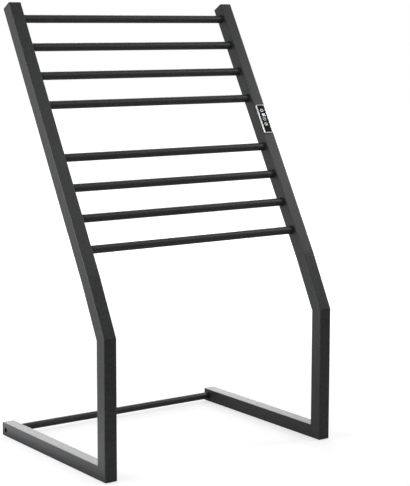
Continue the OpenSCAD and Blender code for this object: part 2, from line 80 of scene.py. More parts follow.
def add(tree, kind, inputs=None, **settings):
    """Adds a node with its settings. Each input is linked where its value is a socket, and set where not."""
    made = tree.nodes.new(kind)
    for name, value in settings.items():
        setattr(made, name, value)
    for name, value in (inputs or {}).items():
        if isinstance(value, bpy.types.NodeSocket):
            tree.links.new(value, made.inputs[name])
        else:
            made.inputs[name].default_value = value
    return made


surroundings = bpy.data.worlds.new("studio")
surroundings.use_nodes = True
tree = surroundings.node_tree
tree.nodes.clear()
direction = add(tree, "ShaderNodeTexCoord").outputs["Generated"]
shade = 0.03
# A bright wall behind the rack to the right, and dimmer glows in front of it, behind it to the left and
# overhead
for towards, tightness, level in (
    ((0.50, 0.85, 0.15), 6, 3.3),
    ((0.20, -0.97, 0.10), 4, 0.45),
    ((-0.56, 0.83, 0.0), 8, 0.5),
    ((0.0, 0.0, 1.0), 4, 0.7),
):
    facing = add(tree, "ShaderNodeVectorMath", {0: direction, 1: towards}, operation="DOT_PRODUCT")
    ahead = add(tree, "ShaderNodeMath", {0: facing.outputs["Value"], 1: 0.0}, operation="MAXIMUM")
    glow = add(tree, "ShaderNodeMath", {0: ahead.outputs["Value"], 1: tightness}, operation="POWER")
    shade = add(tree, "ShaderNodeMath", {
        0: glow.outputs["Value"], 1: level, 2: shade,
    }, operation="MULTIPLY_ADD").outputs["Value"]
seen = add(tree, "ShaderNodeLightPath").outputs["Is Camera Ray"]
strength = add(tree, "ShaderNodeMix", {"Factor": seen, "A": shade, "B": 1.0}, data_type="FLOAT")
light = add(tree, "ShaderNodeBackground", {
    "Color": linear("#ffffff"), "Strength": strength.outputs["Result"],
})
add(tree, "ShaderNodeOutputWorld", {"Surface": light.outputs["Background"]})
scene.world = surroundings

floor_radius = 12.0
floor_corners = np.arange(64)
floor_edge = floor_radius * np.exp(2j * np.pi * floor_corners / len(floor_corners))
floor_points = np.c_[floor_edge.real, floor_edge.imag, 0 * floor_corners]
floor_mesh = bpy.data.meshes.new("floor")
floor_mesh.from_pydata(floor_points.tolist(), [], [floor_corners.tolist()])
floor = bpy.data.objects.new("floor", floor_mesh)
scene.collection.objects.link(floor)

sweep = bpy.data.materials.new("white paper sweep")
sweep.use_nodes = True
tree = sweep.node_tree
tree.nodes.clear()
paper = add(tree, "ShaderNodeBsdfDiffuse", {"Color": linear("#b8b8b8")})
# What the camera sees of it glows to white further out, and less near the rack, where it takes shadows
place = add(tree, "ShaderNodeTexCoord").outputs["Object"]
from_rack = add(tree, "ShaderNodeVectorMath", {0: place}, operation="LENGTH")
filled = add(tree, "ShaderNodeMapRange", {
    "Value": from_rack.outputs["Value"], "From Min": 0.5, "From Max": 1.6, "To Min": 0.62, "To Max": 1.0,
}, interpolation_type="SMOOTHSTEP")
bright = add(tree, "ShaderNodeEmission", {
    "Color": linear("#ffffff"), "Strength": filled.outputs["Result"],
})
lit_paper = add(tree, "ShaderNodeAddShader", {0: paper.outputs["BSDF"], 1: bright.outputs["Emission"]})
# A strip of light along the left, 0.28 to 0.38 m from the middle, throws light up the left leg's side. It
# grows brighter to the rear
position = add(tree, "ShaderNodeSeparateXYZ", {"Vector": place}).outputs
strip = add(tree, "ShaderNodeMath", {0: position["X"], 1: -0.33, 2: 0.05}, operation="COMPARE")
rearward = add(tree, "ShaderNodeMapRange", {
    "Value": position["Y"], "From Min": -0.34, "From Max": 0.3, "To Min": 0.0, "To Max": 2.4,
})
strip_light = add(tree, "ShaderNodeMath", {
    0: strip.outputs["Value"], 1: rearward.outputs["Result"],
}, operation="MULTIPLY")
thrown = add(tree, "ShaderNodeEmission", {
    "Color": linear("#ffffff"), "Strength": strip_light.outputs["Value"],
})
striped_paper = add(tree, "ShaderNodeAddShader", {0: paper.outputs["BSDF"], 1: thrown.outputs["Emission"]})
seen = add(tree, "ShaderNodeLightPath").outputs["Is Camera Ray"]
either = add(tree, "ShaderNodeMixShader", {
    "Fac": seen, 1: striped_paper.outputs["Shader"], 2: lit_paper.outputs["Shader"],
})
add(tree, "ShaderNodeOutputMaterial", {"Surface": either.outputs["Shader"]})
floor_mesh.materials.append(sweep)


def softbox(name, place, target, size, power):
    """A square area light that the camera doesn't see, turned so that its -Z axis points at the target."""
    lamp = bpy.data.lights.new(name, "AREA")
    lamp.size = size
    lamp.energy = power
    made = bpy.data.objects.new(name, lamp)
    made.location = place
    made.visible_camera = False
    aim = np.array(target) - np.array(place)
    level = np.hypot(aim[0], aim[1])
    made.rotation_euler = (np.arctan2(level, -aim[2]), 0, np.arctan2(aim[1], aim[0]) - np.pi / 2)
    scene.collection.objects.link(made)


softbox("left_softbox", (-1.2, 0.1, 0.6), (-0.2, 0, 0.4), 1.0, 12)
softbox("rear_left_softbox", (-1.15, 1.0, 0.5), (-0.25, 0, 0.4), 0.8, 1.6)
softbox("rear_softbox", (1.3, 2.4, 0.6), (0, 0, 0.1), 1.6, 15)
# These two light the leaning faces from either side of the way in which the panel's glass mirrors
softbox("front_softbox", (0.6, -0.85, 1.65), (-0.24, 0, 0.55), 0.6, 1.8)
softbox("right_softbox", (1.75, -0.55, 1.5), (0.24, 0, 0.6), 0.6, 10)


# ---- Side frames: floor legs, posts and the short tubes above the bend ----
# Square steel tube, 25 mm with a 1.2 mm wall, cut to mitres, welded, ground flush and powder coated
# satin black. The corners are rolled to a 1.5 mm radius and the cut ends lose their burr.

left_leg_low, left_leg_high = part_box("left_leg")
right_leg_low, right_leg_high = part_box("right_leg")
post_low, post_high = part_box("left_lower_post")
knee_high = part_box("left_knee_tube")[1]
upper_low, upper_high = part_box("left_upper_post")
bar_centres = [sum(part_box(f"bar_{i}"), start=type(upper_low)()) / 2 for i in range(1, 9)]

tube = left_leg_high.x - left_leg_low.x
post_x = (right_leg_low.x + right_leg_high.x) / 2
wall = 1.2 * mm
corner = 1.5 * mm
front = (post_low.y, left_leg_low.z)
bend = (post_low.y, post_high.z)
joint = (upper_low.y, knee_high.z)
knee_angle = np.arctan2(joint[0] - bend[0], joint[1] - bend[1])
run = bar_centres[0] - bar_centres[7]
lean_angle = np.arctan2(run.y, run.z)
knee_len = np.hypot(joint[0] - bend[0], joint[1] - bend[1])
upper_len = (upper_high.z - joint[1]) / np.cos(lean_angle)
leg_len = left_leg_high.y - left_leg_low.y
foot = tube * np.tan((lean_angle - knee_angle) / 2)
heel = tube * np.tan(knee_angle / 2)


def leaning(points, x, origin, angle):
    """Points of a post's own frame, x across it, y into it from its front face and z along it, leaned
    back by the angle: (x0 + x, y0 + y cos a + z sin a, z0 - y sin a + z cos a)."""
    across, into, along = np.moveaxis(np.asarray(points, float), -1, 0)
    return np.stack([
        x + across,
        origin[0] + into * np.cos(angle) + along * np.sin(angle),
        origin[1] - into * np.sin(angle) + along * np.cos(angle),
    ], axis=-1)


def rounded_outline(width, length, radius, arc=9, ease=0.4 * mm):
    """A rectangle with round corners, anticlockwise: centre + r (cos t, sin t) at each corner, and one
    point on each flat beside it, where the corner's shading ends. Returns the points, the outward
    normals (cos t, sin t), and how far each point is round its corner, 0 on the flats and 1 halfway."""
    start = np.radians([0, 90, 180, 270])[:, None]
    turn = np.linspace(0, np.pi / 2, arc)[None, :]
    angle = start + np.concatenate([[[0]], turn, [[np.pi / 2]]], axis=1)
    normal = np.stack([np.cos(angle), np.sin(angle)], axis=-1)
    tangent = np.stack([-np.sin(angle), np.cos(angle)], axis=-1)
    side = np.array([[1, 1], [-1, 1], [-1, -1], [1, -1]])[:, None, :]
    centre = side * (np.array([width, length]) / 2 - radius)
    shift = np.zeros(arc + 2)
    shift[0], shift[-1] = -ease, ease
    points = centre + radius * normal + tangent * shift[None, :, None]
    round_corner = np.tile(np.sin(2 * np.concatenate([[0], turn[0], [0]])), 4)
    return points.reshape(-1, 2), normal.reshape(-1, 2), round_corner


def grid_faces(rows, columns, loop):
    """Quads between neighbouring points of a grid whose columns close on themselves, and its rows too
    where loop is true. A grid that isn't a loop gets a flat face across each end. Each array holds the
    faces that have the same number of corners."""
    first = np.arange(rows if loop else rows - 1)[:, None] * columns
    after = (first + columns) % (rows * columns)
    at = np.arange(columns)[None, :]
    nxt = (at + 1) % columns
    quads = np.stack([first + at, first + nxt, after + nxt, after + at], axis=-1).reshape(-1, 4)
    ends = np.stack([at[0, ::-1], at[0] + (rows - 1) * columns])
    return [quads] if loop else [quads, ends]


def outward(grid, loop):
    """A grid's points and its faces, which are turned round where the volume that they enclose, the sum
    of p . (q x r) / 6 over the triangles that fan out from each face's first corner, is negative."""
    points = grid.reshape(-1, 3)
    faces = grid_faces(*grid.shape[:2], loop)
    fans = [points[block] - points.mean(axis=0) for block in faces]
    volume = sum(np.sum(fan[:, :1] * np.cross(fan[:, 1:-1], fan[:, 2:])) for fan in fans) / 6
    return points, faces if volume > 0 else [block[:, ::-1] for block in faces]


def closed_mesh(name, grids, loop):
    """One mesh from one or more grids of points (rows, columns, 3). It is written as whole arrays: the
    coordinates, the point at each corner of each face, and where each face's corners start."""
    points, faces, count = [], [], 0
    for grid in grids:
        own_points, own_faces = outward(grid, loop)
        points.append(own_points)
        faces += [block + count for block in own_faces]
        count += len(own_points)
    corners = np.concatenate([block.ravel() for block in faces])
    sizes = np.concatenate([np.full(len(block), block.shape[1]) for block in faces])
    mesh = bpy.data.meshes.new(name)
    mesh.vertices.add(count)
    mesh.vertices.foreach_set("co", np.concatenate(points).ravel().astype(np.float32))
    mesh.loops.add(len(corners))
    mesh.loops.foreach_set("vertex_index", corners.astype(np.int32))
    mesh.polygons.add(len(sizes))
    mesh.polygons.foreach_set("loop_start", (np.cumsum(sizes) - sizes).astype(np.int32))
    mesh.update(calc_edges=True)
    return mesh


def make_piece(name, grids, material, replaced, loop=True, edge_sheen_and_shade=None, sharp=30):
    """A piece made of grids. The per-point values say how far each point is on an outside corner, up to 1,
    where the coat is drawn paler as thin coat and painted sheen, or in an inside one, down to -1, where it
    is drawn darker as painted shade; they are kept as the attribute corner. Edges that turn more than the
    sharp angle are shaded sharp."""
    mesh = closed_mesh(name, grids, loop)
    if edge_sheen_and_shade is not None:
        kept = mesh.attributes.new("corner", "FLOAT", "POINT")
        kept.data.foreach_set("value", np.concatenate([w.ravel() for w in edge_sheen_and_shade]).astype(np.float32))
    mesh.polygons.foreach_set("use_smooth", np.ones(len(mesh.polygons), bool))
    mesh.update()
    mesh.set_sharp_from_angle(angle=np.radians(sharp))
    mesh.materials.append(material)
    piece = bpy.data.objects.new(name, mesh)
    scene.collection.objects.link(piece)
    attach(piece, "root")
    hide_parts(*replaced)
    return piece


def new_material(name):
    """An empty procedural material, its tree and the object's own coordinates in it."""
    made = bpy.data.materials.new(name)
    made.use_nodes = True
    made.node_tree.nodes.clear()
    return made, made.node_tree, add(made.node_tree, "ShaderNodeTexCoord").outputs["Object"]


# Polyester powder, satin black. It flows as it bakes, which leaves orange peel of lumps 1 to 4 mm across
# and a few microns high, drawn up to 0.14 mm high so that it shows. Outside corners are drawn a little
# paler, partly because the coat pulls thin there and partly as a painted highlight for the edges' sheen.
# Inside corners, round the welds and at the bar ends, are drawn darker as painted shade for the contact
# shadow there, and duller, as the coat reaches badly into them.
powder_coat, tree, place = new_material("satin black polyester powder coat")
peel = add(tree, "ShaderNodeTexNoise", {
    "Vector": place, "Scale": 1 / (4 * mm), "Detail": 3.0, "Roughness": 0.6,
})
mottle = add(tree, "ShaderNodeTexNoise", {
    "Vector": place, "Scale": 1 / (5 * mm), "Detail": 4.0, "Roughness": 0.65,
}).outputs["Fac"]
at_corner = add(tree, "ShaderNodeAttribute", attribute_name="corner").outputs["Fac"]
share = {}
for name, value, start, end, low, high in (
    ("paleness", mottle, 0.36, 0.64, 0.0, 1.0),
    ("patchiness", mottle, 0.3, 0.7, 0.25, 0.75),
    ("dullness", mottle, 0.3, 0.7, 0.38, 0.48),
    ("outside", at_corner, 0.0, 1.0, 0.0, 1.0),
    ("inside", at_corner, -1.0, 0.0, 0.8, 0.0),
):
    share[name] = add(tree, "ShaderNodeMapRange", {
        "Value": value, "From Min": start, "From Max": end, "To Min": low, "To Max": high,
    }).outputs["Result"]
open_coat = add(tree, "ShaderNodeMix", {
    "Factor": share["paleness"], "A": linear("#1e1f21"), "B": linear("#303133"),
}, data_type="RGBA")
# Outside corners are mixed paler: partly thin coat, partly a painted highlight for the edges' sheen
thin_coat_and_sheen = add(tree, "ShaderNodeMath", {0: share["outside"], 1: share["patchiness"]}, operation="MULTIPLY")
thin_coat_and_edge_sheen = add(tree, "ShaderNodeMix", {
    "Factor": thin_coat_and_sheen.outputs["Value"], "A": open_coat.outputs["Result"], "B": linear("#4a4b4e"),
}, data_type="RGBA")
# Inside corners are mixed towards near black: painted shade for the contact shadow at the welds and bar ends
coat_colour = add(tree, "ShaderNodeMix", {
    "Factor": share["inside"], "A": thin_coat_and_edge_sheen.outputs["Result"], "B": linear("#0b0b0c"),
}, data_type="RGBA")
coat_dullness = add(tree, "ShaderNodeMath", {
    0: share["inside"], 1: 0.3, 2: share["dullness"],
}, operation="MULTIPLY_ADD")
bumps = add(tree, "ShaderNodeBump", {
    "Height": peel.outputs["Fac"], "Strength": 1.0, "Distance": 0.14 * mm,
})
shader = add(tree, "ShaderNodeBsdfPrincipled", {
    "Base Color": coat_colour.outputs["Result"], "Roughness": coat_dullness.outputs["Value"],
    "Normal": bumps.outputs["Normal"], "IOR": 1.5,
})
add(tree, "ShaderNodeOutputMaterial", {"Surface": shader.outputs["BSDF"]})


def square_tube(x, origin, angle, low, high, burr_low, burr_high):
    """The skin of a square tube between two sloping cuts. Its rows follow the section round the wall:
    up the outside, over the end, down the inside and back. At a cut the outside is rounded by its burr
    radius b: inset b (1 - sin t), along b (1 - cos t). low and high give each cut's height at the front
    and the rear face. Returns the grid and, for each point, how far it is on a rounded corner or eased cut
    edge, where the coat is drawn paler, partly as thin coat and partly as a painted highlight for the sheen."""
    section, normal, round_corner = rounded_outline(tube, tube, corner)
    bore = rounded_outline(tube - 2 * wall, tube - 2 * wall, corner - wall, ease=0.2 * mm)[0]
    centre = np.array([0, tube / 2])
    t = np.linspace(0, np.pi / 2, 5)
    inset = np.concatenate([burr_low * (1 - np.sin(t)), [0, 0], burr_high * (1 - np.sin(t[::-1]))])
    from_low = np.concatenate([burr_low * (1 - np.cos(t)), [burr_low + 0.4 * mm]])
    from_high = np.concatenate([burr_high * (1 - np.cos(t)), [burr_high + 0.4 * mm]])[::-1]
    outside = centre + section - inset[:, None, None] * normal
    share = outside[..., 1] / tube
    low_cut = low[0] + (low[1] - low[0]) * share
    high_cut = high[0] + (high[1] - high[0]) * share
    n = len(from_low)
    along = np.concatenate([low_cut[:n] + from_low[:, None], high_cut[n:] - from_high[:, None]])
    inside = np.repeat((centre + bore)[None], 2, axis=0)
    share = inside[..., 1] / tube
    inner_along = np.stack([
        high[0] + (high[1] - high[0]) * share[0], low[0] + (low[1] - low[0]) * share[1],
    ])
    flat = np.concatenate([
        np.dstack([outside, along]), np.dstack([inside, inner_along]),
    ])
    edge_sheen_and_shade = np.concatenate([
        np.maximum(round_corner[None], (inset > 0)[:, None] * 1.0), np.zeros((2, len(bore))),
    ])
    return leaning(flat, x, origin, angle), edge_sheen_and_shade


def cut_out(piece, cutter_grid):
    """Takes a closed solid out of a piece's wall, and leaves the edges' shading as it was made."""
    cutter_mesh = closed_mesh("cutter", [cutter_grid], False)
    solid = bpy.data.objects.new("cutter", cutter_mesh)
    scene.collection.objects.link(solid)
    cut = piece.modifiers.new("hole", "BOOLEAN")
    cut.operation = "DIFFERENCE"
    cut.solver = "EXACT"
    cut.object = solid
    bpy.context.view_layer.update()
    done = bpy.data.meshes.new_from_object(piece.evaluated_get(bpy.context.evaluated_depsgraph_get()))
    piece.modifiers.clear()
    piece.data = done
    done.set_sharp_from_angle(angle=np.radians(30))
    bpy.data.objects.remove(solid)
    bpy.data.meshes.remove(cutter_mesh)


def ring(radius, steps=48):
    """A circle's points."""
    t = np.linspace(0, 2 * np.pi, steps, endpoint=False)
    return radius * np.stack([np.cos(t), np.sin(t)], axis=-1)


ground = 0.1 * mm
open_end = 0.3 * mm
# Each tube's lower end, its lean, the heights of its two cuts (at the front face, at the rear face), and
# the burr radius at each cut
tubes = {
    "leg": ((front[0], front[1] + tube), np.pi / 2, (tube, 0), (leg_len, leg_len), ground, open_end),
    "lower_post": (front, 0, (0, tube), (bend[1] - front[1], bend[1] - front[1] - heel), ground, ground),
    "knee_tube": (bend, knee_angle, (0, heel), (knee_len, knee_len - foot), ground, open_end),
    "upper_post": (joint, lean_angle, (0, foot), (upper_len, upper_len), open_end, open_end),
}
made_tubes = {}
for side, x in (("left", -post_x), ("right", post_x)):
    for name, (origin, angle, low, high, burr_low, burr_high) in tubes.items():
        grid, edge_sheen_and_shade = square_tube(x, origin, angle, low, high, burr_low, burr_high)
        made_tubes[f"{side}_{name}"] = make_piece(
            f"{side}_{name}_tube", [grid], powder_coat, [f"{side}_{name}"], edge_sheen_and_shade=[edge_sheen_and_shade])

# Holes for the hexagon key in the outer walls of the legs, in line with the crossbar
access_d = 9 * mm
cross_low, cross_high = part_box("crossbar")
cross_y, cross_z = (cross_low.y + cross_high.y) / 2, (cross_low.z + cross_high.z) / 2
for side, sign in (("left", -1), ("right", 1)):
    circle = ring(access_d / 2)
    depth = sign * np.array([post_x + tube / 2 - 3 * mm, post_x + tube / 2 + 3 * mm])
    cutter = np.stack([
        np.c_[np.full(len(circle), d), cross_y + circle[:, 0], cross_z + circle[:, 1]] for d in depth
    ])
    cut_out(made_tubes[f"{side}_leg"], cutter)


# ---- Heated bars ----
# Eight round steel tubes, 15 mm with a 1 mm wall, in two groups of four. Each stands between the two
# upper posts over a hole for its heating cable, is TIG welded all round, and is coated with the frame.

def turned(profile, centre, steps=64, ripple=0.0, ripples=0):
    """A profile of (distance along x, radius) turned about an axis through centre, along x. A ripple
    swells the radius by its share times sin (k t) of how far it stands above the profile's least."""
    t = np.linspace(0, 2 * np.pi, steps, endpoint=False)[None, :]
    along, radius = np.asarray(profile, float).T[:, :, None]
    swell = 1 + ripple * np.sin(ripples * t) * (radius > radius.min() * 1.001)
    radius = radius.min() + (radius - radius.min()) * swell
    return np.stack([
        centre[0] + along + 0 * t, centre[1] + radius * np.cos(t), centre[2] + radius * np.sin(t),
    ], axis=-1)


def coated_pipe(name, outer, thickness, length, centre, replaced):
    """A pipe along x, turned from its wall, once round: outside, end, bore and back. Its end edges are
    eased by 0.2 mm, and up to 9 mm from what it stands against the coat is drawn darker, as painted
    contact shade."""
    half, inner, ease = length / 2, outer - thickness, 0.2 * mm
    from_end = np.array([0, ease, 2 * ease, 3 * mm, 9 * mm])
    along = np.concatenate([-half + from_end, (half - from_end)[::-1], [half, -half]])
    radius = np.array([outer - ease] + 8 * [outer] + [outer - ease, inner, inner])
    corner_here = np.array([-1, -1, -1, -0.7, 0, 0, -0.7, -1, -1, -1, 0, 0])
    grid = turned(np.c_[along, radius], centre)
    edge_sheen_and_shade = np.repeat(corner_here[:, None], grid.shape[1], axis=1)
    make_piece(name, [grid], powder_coat, [replaced], edge_sheen_and_shade=[edge_sheen_and_shade])


bar_low, bar_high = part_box("bar_1")
bar_r = (bar_high.z - bar_low.z) / 2
bar_len = bar_high.x - bar_low.x
for i, centre in enumerate(bar_centres, start=1):
    coated_pipe(f"bar_tube_{i}", bar_r, 1 * mm, bar_len, centre, f"bar_{i}")

# The weld beads: hollow fillets, 1.8 mm along the bar and 1.6 mm up the post, with a ripple for each
# drop of filler. The section is along a t^2, up b (1 - t)^2
bead_t = np.linspace(0, 1, 8)
bead = np.c_[1.8 * mm * bead_t ** 2, bar_r + 1.6 * mm * (1 - bead_t) ** 2]
bead = np.r_[bead, [[1.8 * mm, bar_r - 0.2 * mm], [0, bar_r - 0.2 * mm]]]
beads = []
for centre in bar_centres:
    for sign in (-1, 1):
        profile = np.c_[sign * (bar_len / 2 - bead[:, 0]), bead[:, 1]]
        beads.append(turned(profile, centre, steps=144, ripple=0.09, ripples=24))
# The beads count as inside corner all over, so they are drawn darker as painted contact shade
make_piece("bar_weld_beads", beads, powder_coat, [], sharp=50,
           edge_sheen_and_shade=[np.full(b.shape[:2], -1.0) for b in beads])


# ---- Crossbar between the legs ----
# A 14 mm steel pipe with a 1 mm wall and a threaded plug pressed into each end. A socket screw through
# the inner wall of each leg pulls it tight; the hole in the outer wall lets the hexagon key in.

cross_r = (cross_high.z - cross_low.z) / 2
cross_len = cross_high.x - cross_low.x
coated_pipe("crossbar_tube", cross_r, 1 * mm, cross_len, (0, cross_y, cross_z), "crossbar")


def clouded(name, dark, pale, patch, dull, grain=None, relief=None, **fixed):
    """A whole procedural finish. Noise in patches of one size mixes the dark and the pale colour, and
    noise in grains of another takes the roughness between dull's two values, both while the noise goes
    from 0.3 to 0.7. relief adds (noise, strength, height) of unevenness. A noise is (size in metres,
    detail). fixed sets the shader's other sockets, with _ for a space. Returns the material, its tree,
    its shader and the object's own coordinates."""
    made, tree, place = new_material(name)
    noise = {
        key: add(tree, "ShaderNodeTexNoise", {"Vector": place, "Scale": 1 / key[0], "Detail": key[1]})
        for key in dict.fromkeys([patch, grain or patch, (relief or [patch])[0]])
    }
    mixed = add(tree, "ShaderNodeMapRange", {
        "Value": noise[patch].outputs["Fac"], "From Min": 0.3, "From Max": 0.7,
    })
    colour = add(tree, "ShaderNodeMix", {
        "Factor": mixed.outputs["Result"], "A": linear(dark), "B": linear(pale),
    }, data_type="RGBA")
    shader = add(tree, "ShaderNodeBsdfPrincipled", {
        "Base Color": colour.outputs["Result"], **{key.replace("_", " "): fixed[key] for key in fixed},
    })
    if grain:
        dullness = add(tree, "ShaderNodeMapRange", {
            "Value": noise[grain].outputs["Fac"], "From Min": 0.3, "From Max": 0.7,
            "To Min": dull[0], "To Max": dull[1],
        })
        tree.links.new(dullness.outputs["Result"], shader.inputs["Roughness"])
    else:
        shader.inputs["Roughness"].default_value = dull
    if relief:
        bumps = add(tree, "ShaderNodeBump", {
            "Height": noise[relief[0]].outputs["Fac"], "Strength": relief[1], "Distance": relief[2],
        })
        tree.links.new(bumps.outputs["Normal"], shader.inputs["Normal"])
    add(tree, "ShaderNodeOutputMaterial", {"Surface": shader.outputs["BSDF"]})
    return made, tree, shader, place


# Screws blackened in hot salts: a thin oxide that keeps the turned steel's sheen, a little blue
black_oxide = clouded("black oxide on steel", "#1a1b1d", "#2a2b2e", (1.2 * mm, 2), (0.3, 0.45),
                      grain=(0.4 * mm, 2), Metallic=0.75)[0]

# Zinc plated steel: bluish bright plate with a fine haze
zinc_plate = clouded("bright zinc plate on steel", "#a4a9ae", "#c2c6c9", (2.5 * mm, 3), (0.25, 0.42),
                     grain=(0.8 * mm, 2), Metallic=1.0)[0]


def finish_node(material, *names):
    """Gives CAD nodes that stay as they are their material."""
    for name in names:
        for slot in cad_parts[name].material_slots:
            slot.material = material


finish_node(black_oxide, "crossbar_screws")
finish_node(zinc_plate, "crossbar_inserts")


# ---- Coupling sleeves and their screws ----
# Inside the tubes a 3 mm thick square sleeve crosses from the short tube to the upper post, so that the
# ladder packs flat. Four M5 button-head screws through the rear faces hold it.

screw_from_joint = 20 * mm
screw_r = 2.45 * mm
head_r = 4.75 * mm
head_h = 2.75 * mm
socket_r = 1.5 * mm
shank = 5.3 * mm


def button_screw(steps=48):
    """A button-head screw standing on z = 0, as rows of rings: shank, seat, a dome r cos t, h sin t, and
    a hexagon socket, whose radius at an angle t is its half width / cos (t mod 60 - 30)."""
    t = np.linspace(0, 2 * np.pi, steps, endpoint=False)
    hexagon = socket_r / np.cos(np.mod(t, np.pi / 3) - np.pi / 6)
    dome = np.linspace(0.12, 1.12, 8)
    rows = [(screw_r - 0.4 * mm, -shank), (screw_r, -shank + 0.4 * mm), (screw_r, 0)]
    rows += [(head_r - 0.15 * mm, 0)]
    rows += list(zip(head_r * np.cos(dome), head_h * np.sin(dome) / np.sin(dome[-1])))
    rows += [(hexagon + 0.15 * mm, head_h), (hexagon, head_h - 0.15 * mm), (hexagon, head_h - 1.7 * mm)]
    return np.stack([
        np.stack([r * np.cos(t), r * np.sin(t), 0 * t + z], axis=-1) for r, z in rows
    ])


screw = button_screw()
coupling_screws = []
for x in (-post_x, post_x):
    for origin, angle, along in (
        (joint, lean_angle, screw_from_joint), (bend, knee_angle, knee_len - screw_from_joint),
    ):
        local = np.stack([screw[..., 0], tube + screw[..., 2], along - screw[..., 1]], axis=-1)
        coupling_screws.append(leaning(local, x, origin, angle))
make_piece("coupling_button_screws", coupling_screws, black_oxide,
           ["coupling_screws"], loop=False)
finish_node(zinc_plate, "left_coupling", "right_coupling", "board_screws")


# ---- Plugs in the open ends ----
# Push-in caps of black polypropylene, moulded with a fine matt texture. A flange as wide as the tube
# closes the end, and fins on the body grip the bore.

# Spark-eroded mould texture: grains 0.3 mm across, drawn at 0.7 mm so that they show
mould_grain = (0.7 * mm, 3)
moulded_black = clouded("textured black polypropylene", "#161617", "#1e1e20", (5 * mm, 2), (0.5, 0.62),
                        grain=mould_grain, relief=(mould_grain, 0.5, 0.03 * mm))[0]


def square_rows(rows):
    """Square rings, one for each (inset from the tube's side, height): the corner's radius shrinks with
    the inset, down to 0.5 mm."""
    rings = []
    for inset, height in rows:
        side = tube - 2 * inset
        outline = rounded_outline(side, side, max(corner - inset, 0.5 * mm))[0] + [0, tube / 2]
        rings.append(np.c_[outline, np.full(len(outline), height)])
    return np.stack(rings)


def rounded_rim(radius, top, steps=6):
    """(inset, height) round a cap's edge: inset r (1 - cos t), height top - r (1 - sin t)."""
    t = np.linspace(0, np.pi / 2, steps)
    return list(zip(radius * (1 - np.cos(t)), top - radius * (1 - np.sin(t))))


cap_t = 2 * mm
bore_inset = wall + 0.1 * mm
core_inset = bore_inset + 1.1 * mm
fins = [(inset, -depth * mm) for depth, inset in (
    (10.5, core_inset), (9.5, bore_inset), (8.8, bore_inset), (8.3, core_inset), (6.5, core_inset),
    (5.7, bore_inset), (5.0, bore_inset), (4.5, core_inset), (2.6, core_inset), (1.8, bore_inset),
)]
cap_rows = [(3.8 * mm, -0.01 * mm), (3.8 * mm, -12 * mm), (core_inset + 0.6 * mm, -12 * mm)]
cap_rows += fins + [(bore_inset, 0), (0, 0)] + rounded_rim(0.7 * mm, cap_t - 0.12 * mm)
cap_rows += [(3.5 * mm, cap_t - 0.03 * mm), (7 * mm, cap_t)]
cap = square_rows(cap_rows)
cap[..., 2] += upper_len
for side, x in (("left", -post_x), ("right", post_x)):
    make_piece(f"{side}_post_cap", [leaning(cap, x, joint, lean_angle)], moulded_black,
               [f"{side}_top_plug"], loop=False)

plug_t = 3 * mm
plug_depth = 4.5 * mm
plug_rows = [(bore_inset + 0.5 * mm, -plug_depth), (bore_inset, -plug_depth + 0.5 * mm), (bore_inset, 0)]
plug_rows += [(0, 0)] + rounded_rim(0.8 * mm, plug_t) + [(3 * mm, plug_t)]
leg_end = (front[0], front[1] + tube)
plain = square_rows(plug_rows)
plain[..., 2] += leg_len
make_piece("left_leg_cap", [leaning(plain, -post_x, leg_end, np.pi / 2)], moulded_black,
           ["left_leg_plug"], loop=False)


# ---- Cord inlet ----
# The right leg's cap has a stepped hole with a rubber bush in it: a flange that lies flush in the cap,
# a neck, and a lip behind that snaps over. The mains cord would pass through its bore.

flange_r, neck_r, bush_bore_r, flange_t = 7.2 * mm, 5.5 * mm, 3.2 * mm, 1.5 * mm
per_corner = len(plain[0]) // 4
around = np.radians(45) + np.pi / 2 * (np.arange(4 * per_corner) - per_corner // 2) / per_corner


def round_rows(rows):
    """Rings of (radius, height), evenly spaced, with a point opposite the middle of each corner of the
    square rings."""
    return np.stack([
        np.c_[r * np.cos(around), tube / 2 + r * np.sin(around), np.full(len(around), z)] for r, z in rows
    ])


holed = np.concatenate([
    square_rows(plug_rows),
    round_rows([
        (flange_r + 0.2 * mm, plug_t), (flange_r, plug_t - 0.2 * mm), (flange_r, plug_t - flange_t),
        (neck_r, plug_t - flange_t), (neck_r, -plug_depth),
    ]),
])
holed[..., 2] += leg_len
make_piece("right_leg_cap", [leaning(holed, post_x, leg_end, np.pi / 2)], moulded_black,
           ["right_leg_plug"])

# EPDM rubber, matt, with the mould's fine grain
rubber_grain = (0.5 * mm, 3)
rubber = clouded("moulded black EPDM rubber", "#121213", "#1a1a1b", (3 * mm, 2), (0.68, 0.8),
                 grain=rubber_grain, relief=(rubber_grain, 0.4, 0.03 * mm))[0]

bush_rows = [
    (bush_bore_r + 0.5 * mm, plug_t), (4.6 * mm, plug_t - 0.05 * mm), (6.4 * mm, plug_t - 0.15 * mm),
    (flange_r - 0.35 * mm, plug_t - 0.3 * mm), (flange_r - 0.05 * mm, plug_t - 0.7 * mm),
    (flange_r - 0.05 * mm, plug_t - flange_t), (neck_r - 0.05 * mm, plug_t - flange_t),
    (neck_r - 0.05 * mm, -plug_depth), (6 * mm, -plug_depth), (5.6 * mm, -plug_depth - 1 * mm),
    (bush_bore_r, -plug_depth - 1 * mm), (bush_bore_r, plug_t - 0.5 * mm),
]
bush = round_rows(bush_rows)
bush[..., 2] += leg_len
make_piece("cord_bush", [leaning(bush, post_x, leg_end, np.pi / 2)], rubber,
           ["cord_gland"])


# ---- Foot pads ----
# Four stick-on rubber discs, 16 mm across and 1.2 mm thick, near the ends of the legs. Their lower
# edges are rounded.

